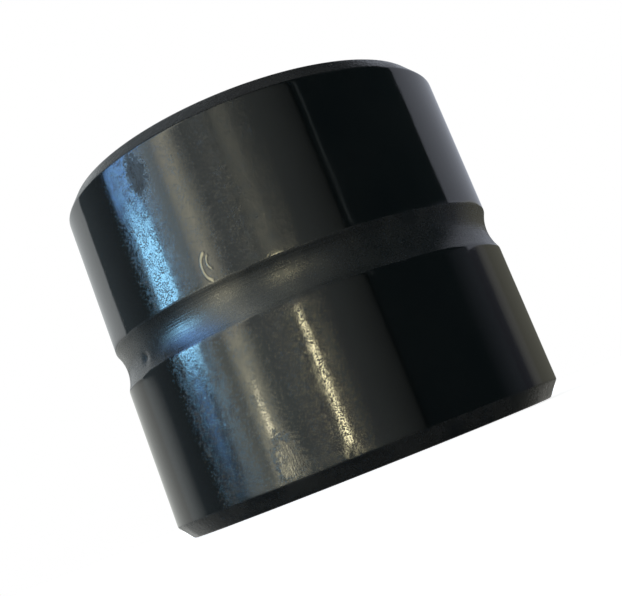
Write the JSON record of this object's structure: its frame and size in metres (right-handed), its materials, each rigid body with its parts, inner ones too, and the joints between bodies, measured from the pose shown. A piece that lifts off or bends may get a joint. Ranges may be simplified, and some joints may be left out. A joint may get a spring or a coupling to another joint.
{
  "type": "rigid sleeve coupling",
  "caption": "Short thick-walled black steel sleeve coupling: keyed through-bore, chamfered ends, shallow round groove outside, keys, set screws and a centre stop ring.",
  "frame": {"origin": "centre of the lower end face, on the bore's axis", "axes": "+Z along the bore towards the upper end; +Y towards the keyway and the keys; -X towards the screws that bear on the shafts"},
  "size_m": [0.1, 0.1, 0.0877],
  "materials": {
    "sleeve_black": "black-oxide steel, ground and oiled, with a matte turned groove",
    "key_steel": "bright drawn key steel",
    "screw_black": "black-oxide alloy steel",
    "pad_brass": "turned brass",
    "ring_spring": "phosphated spring steel"
  },
  "bodies": {
    "sleeve": {"sleeve_body": "sleeve_black", "centre_stop_ring": "ring_spring"},
    "key_lower": {"key_lower": "key_steel"},
    "key_upper": {"key_upper": "key_steel"},
    "key_screw_pad_lower": {"key_screw_pad_lower": "pad_brass"},
    "key_set_screw_lower": {"key_set_screw_lower": "screw_black"},
    "key_screw_pad_upper": {"key_screw_pad_upper": "pad_brass"},
    "key_set_screw_upper": {"key_set_screw_upper": "screw_black"},
    "shaft_screw_pad_lower": {"shaft_screw_pad_lower": "pad_brass"},
    "shaft_set_screw_lower": {"shaft_set_screw_lower": "screw_black"},
    "shaft_screw_pad_upper": {"shaft_screw_pad_upper": "pad_brass"},
    "shaft_set_screw_upper": {"shaft_set_screw_upper": "screw_black"}
  },
  "joints": [
    {"name": "key_lower_slide", "type": "slide", "parent": "sleeve", "child": "key_lower", "axis": [0, 0, -1], "range_m": [0, 0.04]},
    {"name": "key_upper_slide", "type": "slide", "parent": "sleeve", "child": "key_upper", "axis": [0, 0, 1], "range_m": [0, 0.04]},
    {"name": "key_screw_lower_travel", "type": "slide", "parent": "sleeve", "child": "key_screw_pad_lower", "axis": [0, 1, 0], "range_m": [0, 0.014]},
    {"name": "key_screw_lower_turn", "type": "hinge", "parent": "key_screw_pad_lower", "child": "key_set_screw_lower", "pos_m": [0, 0.04, 0.02], "axis": [0, 1, 0], "range_deg": [0, 2880]},
    {"name": "key_screw_upper_travel", "type": "slide", "parent": "sleeve", "child": "key_screw_pad_upper", "axis": [0, 1, 0], "range_m": [0, 0.014]},
    {"name": "key_screw_upper_turn", "type": "hinge", "parent": "key_screw_pad_upper", "child": "key_set_screw_upper", "pos_m": [0, 0.04, 0.067], "axis": [0, 1, 0], "range_deg": [0, 2880]},
    {"name": "shaft_screw_lower_travel", "type": "slide", "parent": "sleeve", "child": "shaft_screw_pad_lower", "axis": [-1, 0, 0], "range_m": [0, 0.014]},
    {"name": "shaft_screw_lower_turn", "type": "hinge", "parent": "shaft_screw_pad_lower", "child": "shaft_set_screw_lower", "pos_m": [-0.04, 0, 0.02], "axis": [-1, 0, 0], "range_deg": [0, 2880]},
    {"name": "shaft_screw_upper_travel", "type": "slide", "parent": "sleeve", "child": "shaft_screw_pad_upper", "axis": [-1, 0, 0], "range_m": [0, 0.014]},
    {"name": "shaft_screw_upper_turn", "type": "hinge", "parent": "shaft_screw_pad_upper", "child": "shaft_set_screw_upper", "pos_m": [-0.04, 0, 0.067], "axis": [-1, 0, 0], "range_deg": [0, 2880]}
  ],
  "couplings": [
    {"joint": "key_screw_lower_travel", "follows": "key_screw_lower_turn", "m_per_rad": 0.0002785},
    {"joint": "key_screw_upper_travel", "follows": "key_screw_upper_turn", "m_per_rad": 0.0002785},
    {"joint": "shaft_screw_lower_travel", "follows": "shaft_screw_lower_turn", "m_per_rad": 0.0002785},
    {"joint": "shaft_screw_upper_travel", "follows": "shaft_screw_upper_turn", "m_per_rad": 0.0002785}
  ]
}
